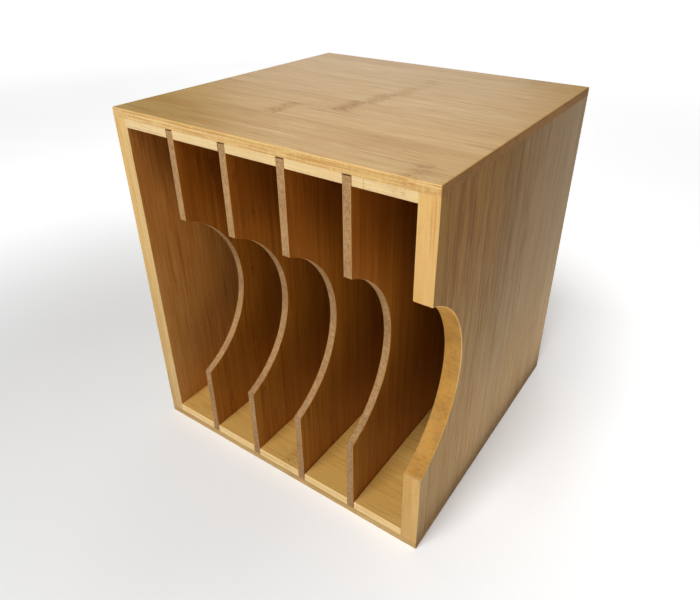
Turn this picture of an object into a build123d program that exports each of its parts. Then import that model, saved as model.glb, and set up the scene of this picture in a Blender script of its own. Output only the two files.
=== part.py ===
from build123d import *
import os

# A desktop sorter: a bamboo box, open at the front, with four upright dividers that slide in
# grooves and part it into five slots. The right side and every divider have a finger cut-out.
#
# Millimetres. The origin is the middle of the underside: +X is to the right as a person faces
# the open front, +Y to the back, +Z up.

# Outside of the box
WIDTH = 200.0
DEPTH = 195.0
HEIGHT = 218.0
EDGE_RADIUS = 0.8         # every outer edge of the box is sanded round

# Boards
LAYER = 5.0               # the top and the bottom are two such layers, glued face to face
SIDE = 10.0
BACK = 5.0
INNER_CHAMFER = 0.4       # eased edges round the slots' mouths
CUTOUT_CHAMFER = 0.5      # eased edges round the right side's cut-out

# Dividers
DIVIDER_COUNT = 4
GROOVE = 5.0              # width of a groove; it is as deep as the inner layer
CORE = 3.8                # fibreboard
VENEER = 0.4              # bamboo on each face of the core
TOP_CLEARANCE = 0.8       # above a divider, which stands on the bottom of its groove
BACK_CLEARANCE = 0.5      # between a divider and the back
GROOVE_LEAN = 0.15        # how far off the middle of its groove a divider stands
LEAN_SIGNS = (1, 1, -1, -1)
VENEER_CHAMFER = 0.15

# Finger cut-out: a round bite out of the front edge
CUTOUT_RADIUS = 57.0
CUTOUT_SETBACK = 20.0     # the circle's centre lies this far in front of the front edge

# Places that follow from the sizes above
FRONT = -DEPTH / 2
REAR = DEPTH / 2
BACK_FACE = REAR - BACK                       # the back panel's inner face
INSIDE = WIDTH / 2 - SIDE                     # half the width between the side panels
MIDDLE = HEIGHT / 2
SLOT_COUNT = DIVIDER_COUNT + 1
SLOT = (2 * INSIDE - DIVIDER_COUNT * GROOVE) / SLOT_COUNT
SLOT_PITCH = SLOT + GROOVE
DIVIDER_BOTTOM = LAYER
DIVIDER_TOP = HEIGHT - LAYER - TOP_CLEARANCE
DIVIDER_BACK = BACK_FACE - BACK_CLEARANCE


def block(x_range, y_range, z_range):
    """A plain box between two values on each axis."""
    lows, highs = zip(x_range, y_range, z_range)
    sizes = [high - low for low, high in zip(lows, highs)]
    return Pos(*lows) * Box(*sizes, align=(Align.MIN, Align.MIN, Align.MIN))


def outer_edges_rounded(board):
    """A board of the box, rounded wherever it reaches an outer edge of the box."""
    envelope = block((-WIDTH / 2, WIDTH / 2), (FRONT, REAR), (0, HEIGHT))
    return board & fillet(envelope.edges(), EDGE_RADIUS)


def cutout(x_range):
    """The round bar whose removal makes a finger cut-out between two values of X."""
    length = x_range[1] - x_range[0]
    centre = ((x_range[0] + x_range[1]) / 2, FRONT - CUTOUT_SETBACK, MIDDLE)
    return Pos(*centre) * Rot(0, 90, 0) * Cylinder(CUTOUT_RADIUS, length)


def edges_in_plane(shape, axis, value):
    return [edge for edge in shape.edges() if is_flat_at(edge, axis, value)]


def is_flat_at(edge, axis, value):
    box = edge.bounding_box()
    low, high = getattr(box.min, axis), getattr(box.max, axis)
    return abs(low - value) < 0.01 and abs(high - value) < 0.01


def outer_board(z_low):
    board = block((-WIDTH / 2, WIDTH / 2), (FRONT, REAR), (z_low, z_low + LAYER))
    return outer_edges_rounded(board)


def slot_strip(index, z_low, slot_side_z):
    """What is left of the inner layer between two grooves; its slot-side front edge is eased."""
    x_low = -INSIDE + index * SLOT_PITCH
    strip = block((x_low, x_low + SLOT), (FRONT, BACK_FACE), (z_low, z_low + LAYER))
    front_edges = edges_in_plane(strip, "Y", FRONT)
    mouth_edge = [edge for edge in front_edges if is_flat_at(edge, "Z", slot_side_z)]
    return chamfer(mouth_edge, INNER_CHAMFER)


def side_panel(sign):
    """A side between the outer boards, rebated at the back for the back panel."""
    inner, outer = sign * INSIDE, sign * WIDTH / 2
    z_range = (LAYER, HEIGHT - LAYER)
    panel = block(sorted((inner, outer)), (FRONT, REAR), z_range)
    rebate = block(sorted((inner, inner + sign * BACK)), (BACK_FACE, REAR), z_range)
    return panel - rebate


def left_side_panel():
    panel = side_panel(-1)
    mouth_edge = [e for e in edges_in_plane(panel, "X", -INSIDE) if is_flat_at(e, "Y", FRONT)]
    return outer_edges_rounded(chamfer(mouth_edge, INNER_CHAMFER))


def right_side_panel():
    panel = side_panel(1) - cutout((INSIDE - 1, WIDTH / 2 + 1))
    round_edges = panel.edges().filter_by(GeomType.CIRCLE)
    return outer_edges_rounded(chamfer(round_edges, CUTOUT_CHAMFER))


def back_panel():
    half_width = INSIDE + BACK
    return block((-half_width, half_width), (BACK_FACE, REAR), (LAYER, HEIGHT - LAYER))


def divider_plate(x_low, thickness):
    x_range = (x_low, x_low + thickness)
    plate = block(x_range, (FRONT, DIVIDER_BACK), (DIVIDER_BOTTOM, DIVIDER_TOP))
    return plate - cutout((x_low - 1, x_low + thickness + 1))


def divider(index):
    """A divider's core and its two veneers, left to right, as (name, solid) pairs."""
    groove_middle = -INSIDE + SLOT + GROOVE / 2 + index * SLOT_PITCH
    core_left = groove_middle + LEAN_SIGNS[index] * GROOVE_LEAN - CORE / 2
    core_right = core_left + CORE
    left = divider_plate(core_left - VENEER, VENEER)
    right = divider_plate(core_right, VENEER)
    left = chamfer(edges_in_plane(left, "X", core_left - VENEER), VENEER_CHAMFER)
    right = chamfer(edges_in_plane(right, "X", core_right + VENEER), VENEER_CHAMFER)
    name = f"divider_{index + 1}"
    return [
        (f"{name}_left_veneer", left),
        (f"{name}_core", divider_plate(core_left, CORE)),
        (f"{name}_right_veneer", right),
    ]


def all_pieces():
    pieces = [
        ("bottom_outer_board", outer_board(0)),
        ("top_outer_board", outer_board(HEIGHT - LAYER)),
        ("left_side_panel", left_side_panel()),
        ("right_side_panel", right_side_panel()),
        ("back_panel", back_panel()),
    ]
    for index in range(SLOT_COUNT):
        floor_z, ceiling_z = 2 * LAYER, HEIGHT - 2 * LAYER
        pieces.append((f"bottom_slot_strip_{index + 1}", slot_strip(index, LAYER, floor_z)))
        pieces.append((f"top_slot_strip_{index + 1}", slot_strip(index, ceiling_z, ceiling_z)))
    for index in range(DIVIDER_COUNT):
        pieces += divider(index)
    return pieces


os.makedirs("parts", exist_ok=True)
for node, piece in all_pieces():
    export_step(piece, f"parts/{node}.step")
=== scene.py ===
"""A bamboo desktop sorter with four slide-in dividers: its materials, light and camera.

Metres, in the row's own frame: the origin is the middle of the underside, +X to the right as a
person faces the open front, +Y to the back and +Z up.
"""

import math

import bpy
from mathutils import Euler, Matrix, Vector


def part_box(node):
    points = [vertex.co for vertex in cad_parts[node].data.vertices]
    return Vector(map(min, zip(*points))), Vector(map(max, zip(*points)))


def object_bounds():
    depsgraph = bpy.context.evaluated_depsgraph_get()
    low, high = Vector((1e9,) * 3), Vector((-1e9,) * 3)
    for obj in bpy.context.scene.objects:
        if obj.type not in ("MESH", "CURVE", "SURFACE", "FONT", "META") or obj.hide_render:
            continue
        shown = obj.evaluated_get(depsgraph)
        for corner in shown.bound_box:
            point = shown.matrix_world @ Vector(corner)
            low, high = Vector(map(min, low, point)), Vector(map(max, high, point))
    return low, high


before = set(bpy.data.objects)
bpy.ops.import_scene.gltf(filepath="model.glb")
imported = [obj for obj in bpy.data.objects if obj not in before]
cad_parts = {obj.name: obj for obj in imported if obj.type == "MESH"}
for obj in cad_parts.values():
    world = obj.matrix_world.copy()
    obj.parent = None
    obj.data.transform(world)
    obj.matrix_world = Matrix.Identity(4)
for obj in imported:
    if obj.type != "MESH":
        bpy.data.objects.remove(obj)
cad_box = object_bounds()

MM = 0.001
X, Y, Z = 0, 1, 2

# The box that the sorter fills, and how thick one layer of its top or bottom is
LOW, HIGH = cad_box
HALF_WIDTH = (HIGH.x - LOW.x) / 2
FRONT = LOW.y
HEIGHT = HIGH.z
MIDDLE = HEIGHT / 2
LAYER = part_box("bottom_outer_board")[1].z


# ---------------------------------------------------------------------------------------------
# Writing nodes


class Graph:
    """The nodes of a material or a world. A value is a number, a tuple or a node's socket."""

    def __init__(self, owner):
        self.owner = owner
        owner.use_nodes = True
        self.tree = owner.node_tree
        self.tree.nodes.clear()

    def node(self, kind, inputs=(), out=0, **settings):
        """Adds a node. Inputs go by name or by number, and out picks the socket that it gives."""
        made = self.tree.nodes.new("ShaderNode" + kind)
        for name, value in settings.items():
            setattr(made, name, value)
        for key, value in dict(inputs).items():
            if isinstance(value, bpy.types.NodeSocket):
                self.tree.links.new(value, made.inputs[key])
            else:
                made.inputs[key].default_value = value
        return made.outputs[out] if made.outputs else None

    def maths(self, operation, *values, clamp=False):
        return self.node("Math", enumerate(values), operation=operation, use_clamp=clamp)

    def add(self, *values):
        total = values[0]
        for value in values[1:]:
            total = self.maths("ADD", total, value)
        return total

    def times(self, *values):
        product = values[0]
        for value in values[1:]:
            product = self.maths("MULTIPLY", product, value)
        return product

    def minus(self, a, b):
        return self.maths("SUBTRACT", a, b)

    def off_middle(self, value):
        """A noise or a chance of 0 to 1 as a number of -0.5 to 0.5."""
        return self.minus(value, 0.5)

    def smooth(self, value, start, end, low=0.0, high=1.0):
        """Low before start, high after end, and a smooth rise between them."""
        inputs = {0: value, 1: start, 2: end, 3: low, 4: high}
        return self.node("MapRange", inputs, interpolation_type="SMOOTHSTEP")

    def bell(self, distance, width):
        """One at distance nought, falling away smoothly over about that width."""
        ratio = self.maths("DIVIDE", distance, width)
        return self.maths("EXPONENT", self.times(ratio, ratio, -1.0))

    def mix(self, share, a, b, blend="MIX"):
        inputs = {0: share, 6: a, 7: b}
        return self.node("Mix", inputs, out=2, data_type="RGBA", blend_type=blend)

    def vector(self, x, y, z):
        return self.node("CombineXYZ", {0: x, 1: y, 2: z})

    def parts(self, vector):
        return [self.node("SeparateXYZ", {0: vector}, out=axis) for axis in (X, Y, Z)]

    def place(self):
        """The point's X, Y and Z in the object's own frame."""
        return self.parts(self.node("TexCoord", out=3))

    def normal(self):
        """The X, Y and Z of the way the surface faces."""
        return self.parts(self.node("NewGeometry", out=1))

    def noise(self, vector, scale=1.0, detail=2.0, roughness=0.5):
        inputs = {"Vector": vector, "Scale": scale, "Detail": detail, "Roughness": roughness}
        return self.node("TexNoise", inputs)

    def chance(self, number, seed, out=0):
        """A random value for each whole number, or with out=1 a random colour."""
        vector = self.vector(number, seed, 0.0)
        return self.node("TexWhiteNoise", {0: vector}, out=out, noise_dimensions="3D")

    def surface(self, colour, roughness, height, relief, gloss):
        """Ends a material. relief is how deep the height goes, and gloss the lacquer's share."""
        bump = self.node("Bump", {"Height": height, "Distance": relief, "Strength": 1.0})
        shader = self.node("BsdfPrincipled", {
            "Base Color": colour,
            "Roughness": roughness,
            "Normal": bump,
            "IOR": 1.5,
            "Specular IOR Level": 0.5 * gloss,
            "Coat Weight": 0.05 * gloss,
            "Coat Roughness": 0.32,
        })
        self.node("OutputMaterial", {0: shader})
        return self.owner


def rgb(red, green, blue):
    """A display colour of 0 to 255 as the linear colour that a shader takes."""
    linear = []
    for part in (red / 255, green / 255, blue / 255):
        linear.append(part / 12.92 if part <= 0.04045 else ((part + 0.055) / 1.055) ** 2.4)
    return (*linear, 1.0)


# ---------------------------------------------------------------------------------------------
# Bamboo

FIBRE_PALE = rgb(224, 187, 122)
FIBRE_DEEP = rgb(196, 148, 76)
VESSEL = rgb(154, 100, 38)
KNUCKLE = rgb(140, 86, 30)
END_GRAIN = rgb(185, 132, 46)
END_FLECK = rgb(142, 90, 24)
GLUE = rgb(134, 90, 46)
# The colour of the painted highlight on rounded edges
EDGE_HIGHLIGHT = rgb(243, 216, 160)
WARMER, COOLER = (1.02, 1.0, 0.95, 1.0), (0.99, 1.0, 1.04, 1.0)
PLAIN = (1.0, 1.0, 1.0)

KNUCKLE_REACH = 4.6 * MM
RIM_PLACE, RIM_REACH = 3.8 * MM, 1.1 * MM
SEAM_CORE, SEAM_EDGE = 0.04 * MM, 0.25 * MM
JOINT_CORE, JOINT_EDGE = 0.08 * MM, 0.40 * MM
BAMBOO_ROUGHNESS = 0.40
BAMBOO_RELIEF = 0.045 * MM


class Bamboo(Graph):
    """Laminated bamboo, drawn step by step over the colour so far.

    u, v and w are the point's place along the grain, across the strips and through the board.
    A lamella is one strip of one ply.
    """

    def __init__(self, name, along, across, strip, start, seed, ply, ply_shift):
        super().__init__(bpy.data.materials.new(name))
        place, normal = self.place(), self.normal()
        through = X + Y + Z - along - across
        self.u, self.v, self.w = place[along], place[across], place[through]
        self.normal_through = normal[through]
        facing = [self.maths("ABSOLUTE", part) for part in normal]
        self.facing_along, self.facing_across = facing[along], facing[across]
        self.facing_through = facing[through]
        self.on_face = self.smooth(self.facing_through, 0.7, 0.9)
        self.on_end = self.smooth(self.facing_along, 0.6, 0.9)

        self.seed = seed
        self.strip_width = strip
        self.strips_in = self.maths("DIVIDE", self.minus(self.v, start), strip)
        self.strip = self.maths("FLOOR", self.strips_in)
        ply_number = self.maths("FLOOR", self.maths("DIVIDE", self.add(self.w, ply_shift), ply))
        self.lamella = self.maths("MULTIPLY_ADD", ply_number, 37.0, self.strip)
        pore_place = self.scaled(700.0, 1100.0, 350.0)
        self.pores = self.noise(pore_place, detail=3.0)

    def scaled(self, u_scale, v_scale, w_scale):
        return self.vector(
            self.times(self.u, u_scale), self.times(self.v, v_scale), self.times(self.w, w_scale)
        )

    def in_lamella(self, u, u_scale, v_scale):
        """A place for noise that breaks off from one lamella to the next."""
        return self.vector(self.times(u, u_scale), self.times(self.v, v_scale), self.lamella)

    def for_strip(self, values):
        """The value in the list that belongs to the strip's number, or nought past its end."""
        found = 0.0
        for number, value in enumerate(values):
            here = self.maths("COMPARE", self.strip, float(number), 0.5)
            found = self.maths("MULTIPLY_ADD", here, value, found)
        return found

    def blend(self, share, colour):
        self.colour = self.mix(share, self.colour, colour)

    def tint(self, share, tint):
        self.colour = self.mix(share, self.colour, (*tint, 1.0), "MULTIPLY")

    def place_knuckles(self, knuckles, spread, middle, strength):
        """Knuckles are bands with a rim on one side, and the fibres swerve at them."""
        if knuckles is None:
            chance = self.chance(self.strip, self.seed + 7.0)
            place = self.add(self.times(self.off_middle(chance), spread), middle)
            share = strength
        else:
            places, strengths = knuckles
            place = self.for_strip(places)
            share = self.times(self.for_strip(strengths), strength)
        wobble = self.noise(self.in_lamella(self.u, 60.0, 170.0), detail=3.0)
        offset = self.add(self.minus(self.u, place), self.times(self.off_middle(wobble), 7.0 * MM))
        share = self.times(self.smooth(self.facing_across, 0.4, 0.8, 1.0, 0.55), share)
        self.band = self.times(self.bell(offset, KNUCKLE_REACH), share)
        self.rim = self.times(self.bell(self.minus(offset, RIM_PLACE), RIM_REACH), share)
        swirl = self.noise(self.in_lamella(self.u, 260.0, 200.0), detail=1.0)
        self.swerve = self.times(self.off_middle(swirl), self.bell(offset, 6.0 * MM), 3.0 * MM)

    def place_tone_and_painted_light(self, tone_and_painted_light):
        """How far each tinted layer has got at the point, with the layer's colour. Some layers are
        the wood's own tone, others painted shade and painted sheen.
        """
        self.tone_and_light_shares = []
        for amounts, span, colour in tone_and_painted_light:
            layer_share = self.times(self.smooth(self.u, *span), self.on_face)
            if amounts:
                layer_share = self.times(layer_share, self.for_strip(amounts))
            self.tone_and_light_shares.append((layer_share, colour))

    def draw_fibres(self, tones, contrast, edge_contrast, first_layer_contrast, fineness, length):
        """Streaks along the grain, which differ from one lamella to the next."""
        random = self.parts(self.chance(self.lamella, self.seed, out=1))[0]
        if tones is None:
            tone = self.times(self.off_middle(random), 0.5 * contrast)
        else:
            tone = self.for_strip(tones)
        u = self.maths("MULTIPLY_ADD", random, 3.0, self.u)
        cloud = self.noise(self.in_lamella(u, 16.0, 45.0), detail=2.0)
        wave = self.times(self.off_middle(cloud), 2.0 * MM)
        self.v_fibre = self.add(self.v, self.swerve, wave)
        self.w_fibre = self.add(self.w, self.times(self.lamella, 0.013))

        def fibres(length_scale, width_scale, detail, roughness=0.55):
            place = self.vector(
                self.times(u, length_scale / length),
                self.times(self.v_fibre, width_scale * fineness),
                self.times(self.w_fibre, width_scale * fineness * 2.0),
            )
            return self.noise(place, detail=detail, roughness=roughness)

        broad = fibres(10.0, 190.0, 2.0)
        middling = fibres(24.0, 520.0, 1.0)
        self.fine = fibres(80.0, 1250.0, 2.0, 0.6)
        self.vessels = fibres(26.0, 820.0, 1.0)
        streaks = self.add(
            self.times(self.off_middle(broad), 1.0 * contrast),
            self.times(self.off_middle(middling), 1.2 * contrast),
            self.times(self.off_middle(self.fine), 1.6 * contrast),
            self.times(self.off_middle(self.pores), 0.7 * contrast),
        )

        # The streaks are stronger in patches, on the narrow sides and in the first tinted layer
        patches = self.smooth(self.noise(self.in_lamella(u, 28.0, 70.0)), 0.36, 0.64)
        strength = self.times(
            self.smooth(self.facing_through, 0.3, 0.7, edge_contrast, 1.0),
            self.add(self.times(patches, 0.9), 0.55),
        )
        if self.tone_and_light_shares:
            first_layer_share = self.tone_and_light_shares[0][0]
            strength = self.maths("MULTIPLY_ADD", first_layer_share, first_layer_contrast, strength)

        share = self.add(
            0.42,
            tone,
            self.times(streaks, strength),
            self.times(self.off_middle(cloud), 0.8 * contrast),
        )
        share = self.maths("MAXIMUM", share, 0.0, clamp=True)
        self.colour = self.mix(share, FIBRE_PALE, FIBRE_DEEP)
        warmth = self.mix(self.chance(self.lamella, self.seed + 3.0), WARMER, COOLER)
        self.colour = self.mix(1.0, self.colour, warmth, "MULTIPLY")
        vessel_strength = self.times(self.maths("MINIMUM", strength, 1.1), 0.6 * contrast)
        self.blend(self.times(self.smooth(self.vessels, 0.56, 0.74), vessel_strength), VESSEL)

    def draw_knuckles(self):
        """A brown band with short dark flecks, which are densest at the rim."""
        place = self.vector(
            self.times(self.u, 300.0),
            self.times(self.v_fibre, 900.0),
            self.times(self.w_fibre, 1500.0),
        )
        self.flecks = self.smooth(self.noise(place), 0.49, 0.60)
        self.blend(self.times(self.band, 0.16), VESSEL)
        self.blend(self.times(self.band, self.flecks, 0.46), KNUCKLE)
        self.blend(self.times(self.rim, self.flecks, 0.36), KNUCKLE)

    def draw_seams(self):
        """A glue line between neighbouring strips."""
        off_centre = self.maths("ABSOLUTE", self.off_middle(self.maths("FRACT", self.strips_in)))
        to_seam = self.times(self.minus(0.5, off_centre), self.strip_width)
        self.seam = self.smooth(to_seam, SEAM_CORE, SEAM_EDGE, 1.0, 0.0)
        self.blend(self.times(self.seam, 0.28), GLUE)

    def draw_ends(self, end_tint, cut_out):
        """Cut ends drink in the lacquer: darker, more golden and mottled."""
        share = self.smooth(self.facing_along, 0.35, 0.95, 0.0, 0.5)
        if cut_out:
            behind_front = self.smooth(self.v, FRONT + 0.6 * MM, FRONT + 1.4 * MM)
            on_cut = self.smooth(self.facing_through, 0.6, 0.85, 1.0, 0.0)
            share = self.maths("MAXIMUM", share, self.times(behind_front, on_cut, 0.68))
        patches = self.noise(self.scaled(110.0, 110.0, 110.0))
        mottling = self.add(
            self.smooth(self.pores, 0.42, 0.72), self.times(self.minus(patches, 0.42), 4.0)
        )
        flecks = self.maths("MULTIPLY", mottling, 0.55, clamp=True)
        self.blend(share, self.mix(flecks, END_GRAIN, END_FLECK))
        self.tint(self.on_end, end_tint)

    def draw_joint(self, place):
        """A hairline across the grain, where two lengths meet."""
        distance = self.maths("ABSOLUTE", self.minus(self.u, place))
        hairline = self.smooth(distance, JOINT_CORE, JOINT_EDGE, 1.0, 0.0)
        self.blend(self.times(hairline, 0.45), GLUE)

    # Tints each layer on: the wood's own tone, painted shade and painted sheen
    def draw_tone_and_painted_light(self):
        for layer_share, colour in self.tone_and_light_shares:
            self.tint(layer_share, colour)

    def paint_edge_highlights(self, strength):
        """A painted highlight: the long rounded edges are painted paler, where they would catch
        the light.
        """
        edge = self.times(
            self.smooth(self.facing_through, 0.20, 0.45),
            self.smooth(self.facing_through, 0.88, 0.97, 1.0, 0.0),
            self.smooth(self.facing_along, 0.10, 0.30, 1.0, 0.0),
        )
        self.blend(self.times(edge, strength), EDGE_HIGHLIGHT)

    def paint_inside_light_and_shade(self, inside_light_and_shade_tint):
        """Painted light and shade of the slots, on the face that is turned to the middle of the
        sorter.
        """
        outward = self.times(self.normal_through, self.maths("SIGN", self.w))
        self.tint(self.smooth(outward, -0.9, -0.7, 1.0, 0.0), inside_light_and_shade_tint)

    def lacquered(self, gloss):
        height = self.add(
            self.times(self.fine, 0.5),
            self.times(self.vessels, -0.4),
            self.times(self.band, self.flecks, -0.5),
            self.times(self.seam, -0.8),
        )
        roughness = self.add(
            BAMBOO_ROUGHNESS,
            self.times(self.fine, 0.14),
            self.times(self.band, 0.06),
            self.times(self.on_end, 0.45),
        )
        return self.surface(self.colour, roughness, height, BAMBOO_RELIEF, gloss)


def bamboo(name, along, across, strip, start, seed, knuckles=None, tones=None, spread=0.30,
           middle=0.0, tint=PLAIN, face_tint=PLAIN, inside_light_and_shade_tint=PLAIN, end_tint=PLAIN,
           ply=LAYER, ply_shift=0.0, contrast=1.0, edge_contrast=1.0, fineness=1.0, length=1.0,
           gloss=1.0, knuckle_strength=1.0, edge_highlight=0.7, cut_out=False, joint=None, tone_and_painted_light=(),
           first_layer_contrast=0.0):
    """Laminated bamboo: strips side by side, glued in plies, with fibres and knuckles.

    along and across are the axes of the grain and of the row of strips. strip is a strip's width
    and start where the first one begins. ply is a ply's thickness, and ply_shift moves where one
    ply ends and the next begins.

    knuckles gives the strips' knuckle places and strengths, and tones their tones. Left out, the
    tones are random, and so are the knuckles, within spread of middle. joint is the place of a
    hairline across the grain.

    tone_and_painted_light is a list of tinted layers, each with the strips' amounts (None for all
    alike), the span that it sets in over, with its start and end values, and a colour. Some layers
    are the wood's own tone, others painted shade and painted sheen. first_layer_contrast is how
    much stronger the streaks are in the first layer.

    face_tint is for the two wide faces, inside_light_and_shade_tint for the one towards the slots,
    which paints light and shade there, and end_tint for sawn ends. contrast is the streaks'
    strength, edge_contrast how much stronger they are on the narrow sides; length and fineness
    stretch and narrow the fibres. edge_highlight is the strength of a painted highlight on the
    long rounded edges. cut_out is for a board whose round cut-out shows the fibres' cut ends.
    """
    g = Bamboo(name, along, across, strip, start, seed, ply, ply_shift)
    g.place_knuckles(knuckles, spread, middle, knuckle_strength)
    g.place_tone_and_painted_light(tone_and_painted_light)
    g.draw_fibres(tones, contrast, edge_contrast, first_layer_contrast, fineness, length)
    g.draw_knuckles()
    g.draw_seams()
    g.draw_ends(end_tint, cut_out)
    if joint is not None:
        g.draw_joint(joint)
    g.tint(1.0, tint)
    g.draw_tone_and_painted_light()
    g.paint_edge_highlights(edge_highlight)
    g.tint(g.on_face, face_tint)
    if inside_light_and_shade_tint is not PLAIN:
        g.paint_inside_light_and_shade(inside_light_and_shade_tint)
    return g.lacquered(gloss)


# ---------------------------------------------------------------------------------------------
# Fibreboard

BOARD_PALE = rgb(184, 145, 98)
BOARD_DARK = rgb(122, 88, 55)
BOARD_SPECK = rgb(70, 48, 34)
BOARD_ROUGHNESS = 0.78
BOARD_RELIEF = 0.12 * MM


def fibreboard(name):
    """A raw sawn edge of medium-density fibreboard: matted short fibres and a few dark specks."""
    g = Graph(bpy.data.materials.new(name))
    point = g.vector(*g.place())
    matted = g.noise(point, scale=1500.0, detail=3.0, roughness=0.65)
    clumps = g.noise(point, scale=420.0)
    patches = g.noise(point, scale=60.0)
    specks = g.smooth(g.noise(point, scale=900.0, detail=1.0), 0.66, 0.74)
    share = g.add(
        0.42,
        g.times(g.off_middle(matted), 1.9),
        g.times(g.off_middle(clumps), 1.1),
        g.times(g.off_middle(patches), 0.7),
    )
    colour = g.mix(g.maths("MAXIMUM", share, 0.0, clamp=True), BOARD_PALE, BOARD_DARK)
    colour = g.mix(g.times(specks, 0.45), colour, BOARD_SPECK)
    height = g.add(matted, g.times(clumps, 0.6))
    return g.surface(colour, BOARD_ROUGHNESS, height, BOARD_RELIEF, gloss=0.6)


# ---------------------------------------------------------------------------------------------
# Giving each node its material


def paint(node, material):
    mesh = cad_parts[node].data
    mesh.materials.clear()
    mesh.materials.append(material)


# How wide the strips are, and how far behind the front the first seam lies
TOP_STRIP, TOP_SEAM = 22.7 * MM, 17.6 * MM
FLOOR_SEAM = 15.6 * MM
SIDE_STRIP, SIDE_SEAM = 20.5 * MM, 9 * MM
BACK_STRIP = 21.0 * MM
VENEER_STRIP, VENEER_SEAM = 2.6 * MM, 0.6 * MM

# One value for each strip of the top, from the front to the back
TOP_KNUCKLES = (
    [85 * MM, 0.3, -24 * MM, 4 * MM, 9 * MM, 14 * MM, 16 * MM, 0.3, 70 * MM],
    [0.7, 0.0, 1.0, 1.2, 1.0, 0.6, 0.35, 0.0, 0.5],
)
TOP_TONES = [0.14, 0.28, 0.06, 0.12, -0.06, 0.04, -0.04, -0.06, 0.08, -0.04]
TOP_PLY_SHIFT = 1.9 * MM
JOINT = 64 * MM

# The top's front strips are darker to the left. The right side's front strips are browner high up,
# painted shade over livelier streaks, and its back strips greyer high up, a painted sheen. The
# left side and the veneers are painted darker towards the top: painted shade under the top board.
TOP_AGED = [
    ([0.95, 0.75, 0.40, 0.30, 0.15], (-90 * MM, 10 * MM, 1.0, 0.0), (0.80, 0.83, 0.76)),
]
TOWARDS_FRONT = [1.0, 1.0, 1.0, 1.0, 0.9, 0.7, 0.3, 0.05]
TOWARDS_BACK = [0.0, 0.0, 0.1, 0.5] + 6 * [1.0]
RIGHT_PAINTED_SHADE_AND_SHEEN = [
    (TOWARDS_FRONT, (40 * MM, 200 * MM, 0.0, 1.0), (0.72, 0.55, 0.22)),
    (TOWARDS_BACK, (10 * MM, 130 * MM, 0.0, 1.0), (0.82, 0.855, 0.95)),
]
WALL_PAINTED_SHADE = [(None, (50 * MM, 190 * MM, 0.0, 1.0), (0.76, 0.63, 0.52))]

paint("top_outer_board", bamboo(
    "bamboo_top", X, Y, TOP_STRIP, FRONT + TOP_SEAM - TOP_STRIP, seed=2.0,
    knuckles=TOP_KNUCKLES, tones=TOP_TONES, tone_and_painted_light=TOP_AGED, first_layer_contrast=0.1,
    tint=(0.91, 0.905, 0.84), face_tint=(0.92, 0.92, 1.04), end_tint=(0.44, 0.345, 0.16),
    contrast=0.74, edge_contrast=3.0, length=1.3, knuckle_strength=1.15, edge_highlight=0.15,
    ply_shift=TOP_PLY_SHIFT,
))
paint("bottom_outer_board", bamboo(
    "bamboo_bottom", X, Y, TOP_STRIP, FRONT + TOP_SEAM - TOP_STRIP, seed=11.0,
    tint=(0.85, 0.86, 0.70), end_tint=(0.80, 0.72, 0.60), contrast=0.8, edge_contrast=1.6,
))

INNER_LAYERS = {
    "top": dict(seed=5.0, tint=(1.03, 1.17, 1.50), ply_shift=TOP_PLY_SHIFT),
    "bottom": dict(seed=8.0, tint=(1.33, 1.50, 1.80)),
}
# The strips' wide faces, the slot floors and ceilings, are tinted darker and more golden than
# their front edges: painted shade and bounced light inside the slots.
for level, look in INNER_LAYERS.items():
    for number in range(1, 6):
        paint(f"{level}_slot_strip_{number}", bamboo(
            f"bamboo_{level}_strip_{number}", X, Y, TOP_STRIP, FRONT + FLOOR_SEAM - TOP_STRIP,
            face_tint=(0.60, 0.49, 0.29), contrast=0.5, edge_highlight=0.5,
            joint=JOINT if (level, number) == ("top", 5) else None, **look,
        ))

# Each side's face towards the slots gets its own tint: painted light and shade of the slots.
SIDES = {
    "left": dict(
        seed=21.0, tint=(0.94, 0.98, 1.10), face_tint=(0.82, 0.74, 0.57),
        inside_light_and_shade_tint=(1.14, 0.88, 0.67), tone_and_painted_light=WALL_PAINTED_SHADE, first_layer_contrast=0.2,
    ),
    # The right side's wide faces are tinted much darker than the left side's: painted shade of the
    # side turned from the lamps.
    "right": dict(
        seed=24.0, tint=(0.95, 0.93, 0.96), face_tint=(0.474, 0.485, 0.562),
        inside_light_and_shade_tint=(1.42, 1.02, 0.78), tone_and_painted_light=RIGHT_PAINTED_SHADE_AND_SHEEN, first_layer_contrast=2.1,
    ),
}
for side, look in SIDES.items():
    paint(f"{side}_side_panel", bamboo(
        f"bamboo_{side}_side", Z, Y, SIDE_STRIP, FRONT + SIDE_SEAM - SIDE_STRIP, spread=0.42,
        middle=MIDDLE, contrast=0.66, edge_contrast=0.65, fineness=0.75, length=1.5, gloss=0.08,
        knuckle_strength=0.3, edge_highlight=0.12, cut_out=True, **look,
    ))

paint("back_panel", bamboo(
    "bamboo_back", Z, X, BACK_STRIP, -HALF_WIDTH, seed=31.0, spread=0.42, middle=MIDDLE,
    face_tint=(0.80, 0.71, 0.60), length=1.5, gloss=0.5, edge_highlight=0.0,
))

for number in range(1, 5):
    veneer = bamboo(
        f"bamboo_veneer_{number}", Z, Y, VENEER_STRIP, FRONT + VENEER_SEAM - VENEER_STRIP,
        seed=40.0 + number, spread=0.50, middle=MIDDLE, ply=1.0, tint=(0.64, 0.47, 0.26),
        face_tint=(1.00, 0.79, 0.36), tone_and_painted_light=WALL_PAINTED_SHADE, contrast=1.1, fineness=2.0, length=2.0,
        gloss=0.5, edge_highlight=0.0,
    )
    paint(f"divider_{number}_left_veneer", veneer)
    paint(f"divider_{number}_right_veneer", veneer)
    paint(f"divider_{number}_core", fibreboard(f"fibreboard_{number}"))


# ---------------------------------------------------------------------------------------------
# Floor, light and camera

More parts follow.
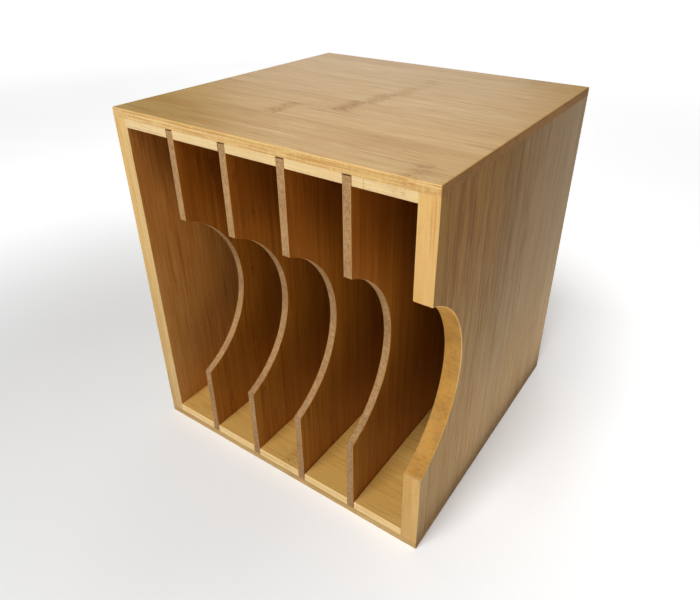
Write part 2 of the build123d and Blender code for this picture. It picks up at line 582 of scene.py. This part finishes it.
FLOOR_SIZE = 16.0
FLOOR_WHITE = (0.90, 0.90, 0.90, 1.0)
FLOOR_SHADE = (0.87, 0.87, 0.87, 1.0)
SHADE_PLACE = (-0.12, -0.12)
WHITE = (1.0, 1.0, 1.0, 1.0)


def pale_floor():
    """Plain and pale. Away from the sorter it is lit as if by the studio's other lamps."""
    g = Graph(bpy.data.materials.new("pale_floor"))
    x, y, z = g.place()
    tone = g.mix(g.noise(g.vector(x, y, z), scale=14.0), FLOOR_WHITE, FLOOR_SHADE)
    from_shade = g.vector(g.minus(x, SHADE_PLACE[0]), g.minus(y, SHADE_PLACE[1]), 0.0)
    away = g.node("VectorMath", {0: from_shade}, out=1, operation="LENGTH")
    glow = g.add(g.smooth(away, 0.10, 0.50, 0.0, 0.68), g.smooth(away, 0.6, 1.8, 0.0, 0.46))
    shader = g.node("BsdfPrincipled", {
        "Base Color": tone, "Roughness": 0.6, "Emission Color": tone, "Emission Strength": glow,
    })
    g.node("OutputMaterial", {0: shader})
    return g.owner


def place_in_scene(name, data, place=(0.0, 0.0, 0.0)):
    made = bpy.data.objects.new(name, data)
    made.location = place
    bpy.context.scene.collection.objects.link(made)
    return made


mesh = bpy.data.meshes.new("floor")
half = FLOOR_SIZE / 2
corners = [(-half, -half, 0), (half, -half, 0), (half, half, 0), (-half, half, 0)]
mesh.from_pydata(corners, [], [(0, 1, 2, 3)])
mesh.materials.append(pale_floor())
floor = place_in_scene("floor", mesh)


def soft_light(name, place, aim, size, power, spread=180, shine=True):
    """A lamp with a wide face. Without shine it isn't seen in what it lights."""
    data = bpy.data.lights.new(name, "AREA")
    data.shape = "RECTANGLE"
    data.size, data.size_y = size
    data.energy = power
    data.spread = math.radians(spread)
    lamp = place_in_scene(name, data, place)
    lamp.rotation_euler = (Vector(aim) - Vector(place)).to_track_quat("-Z", "Y").to_euler()
    lamp.visible_camera = False
    lamp.visible_glossy = shine


CENTRE = (0.0, 0.0, MIDDLE)
CARD_PLACE, ABOVE_CARD = (0.24, 0.06, 0.003), (0.24, 0.06, 1.0)
soft_light("key", (0.04, -0.65, 1.11), CENTRE, (0.6, 0.6), 14.5)
soft_light("behind", (-0.61, 0.985, 0.50), CENTRE, (0.8, 0.7), 0.86, spread=110)
soft_light("table_card", CARD_PLACE, ABOVE_CARD, (0.24, 0.34), 0.47, shine=False)



def white_backdrop():
    """White to look at. The light that it gives comes from near the floor and falls off above."""
    g = Graph(bpy.data.worlds.new("studio"))
    rise = g.parts(g.node("TexCoord"))[Z]
    seen_by_camera = g.node("LightPath")
    strength = g.maths("MAXIMUM", g.smooth(rise, 0.0, 0.12, 0.40, 0.03), seen_by_camera)
    g.node("OutputWorld", {0: g.node("Background", {"Color": WHITE, "Strength": strength})})
    return g.owner


bpy.context.scene.world = white_backdrop()
bpy.context.scene.view_settings.view_transform = "Standard"

LENS_MM, SENSOR_MM = 30.60, 36.0
CAMERA_PLACE = (0.1927, -0.2889, 0.3026)
CAMERA_TURN = (59.93, -0.25, 33.87)
CAMERA_SHIFT = (-0.0212, -0.0416)

data = bpy.data.cameras.new("camera")
data.lens = LENS_MM
data.sensor_width = SENSOR_MM
data.shift_x, data.shift_y = CAMERA_SHIFT
camera = place_in_scene("camera", data, CAMERA_PLACE)
camera.rotation_euler = Euler([math.radians(angle) for angle in CAMERA_TURN])
bpy.context.scene.camera = camera
